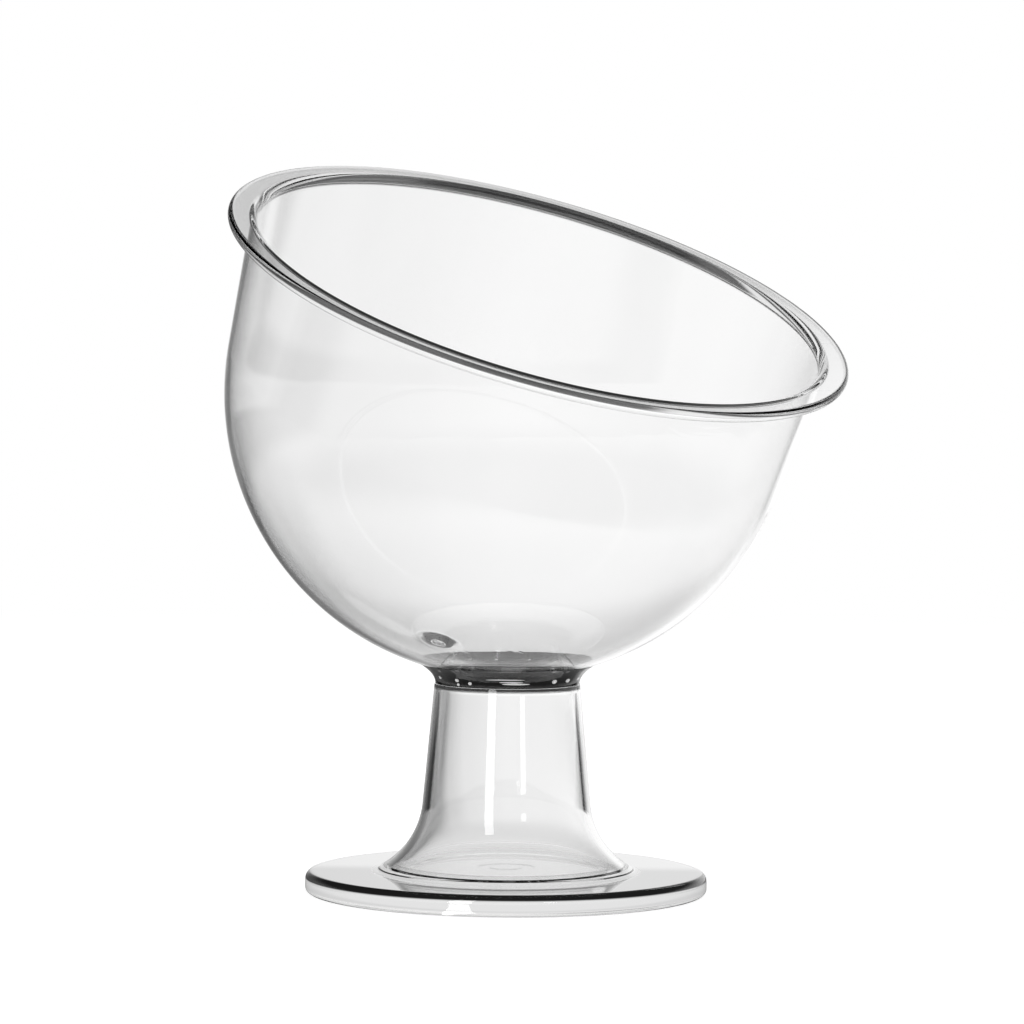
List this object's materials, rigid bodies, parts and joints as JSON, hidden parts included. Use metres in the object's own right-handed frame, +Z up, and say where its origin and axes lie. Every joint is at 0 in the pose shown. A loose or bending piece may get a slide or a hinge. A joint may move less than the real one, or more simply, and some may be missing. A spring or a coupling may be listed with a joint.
{
  "type": "dessert cup",
  "caption": "Clear footed dessert cup: a round bowl with a slanted, flanged mouth on a hollow flared stem and a disc foot, for ice cream, fruit or pudding.",
  "frame": {"origin": "centre of the foot's flat underside, on the stem's axis", "axes": "+Z up along the stem; -Y is the front, the side to which the mouth slants down; +X is to the right seen from the front"},
  "size_m": [0.12, 0.1174, 0.1379],
  "materials": {
    "clear_plastic": "clear, colourless, polished as moulded",
    "clear_cement": "clear set cement with a few small bubbles"
  },
  "bodies": {
    "root": {"foot": "clear_plastic", "foot_cement": "clear_cement", "stem": "clear_plastic", "neck_cement": "clear_cement", "bowl": "clear_plastic"}
  },
  "joints": []
}
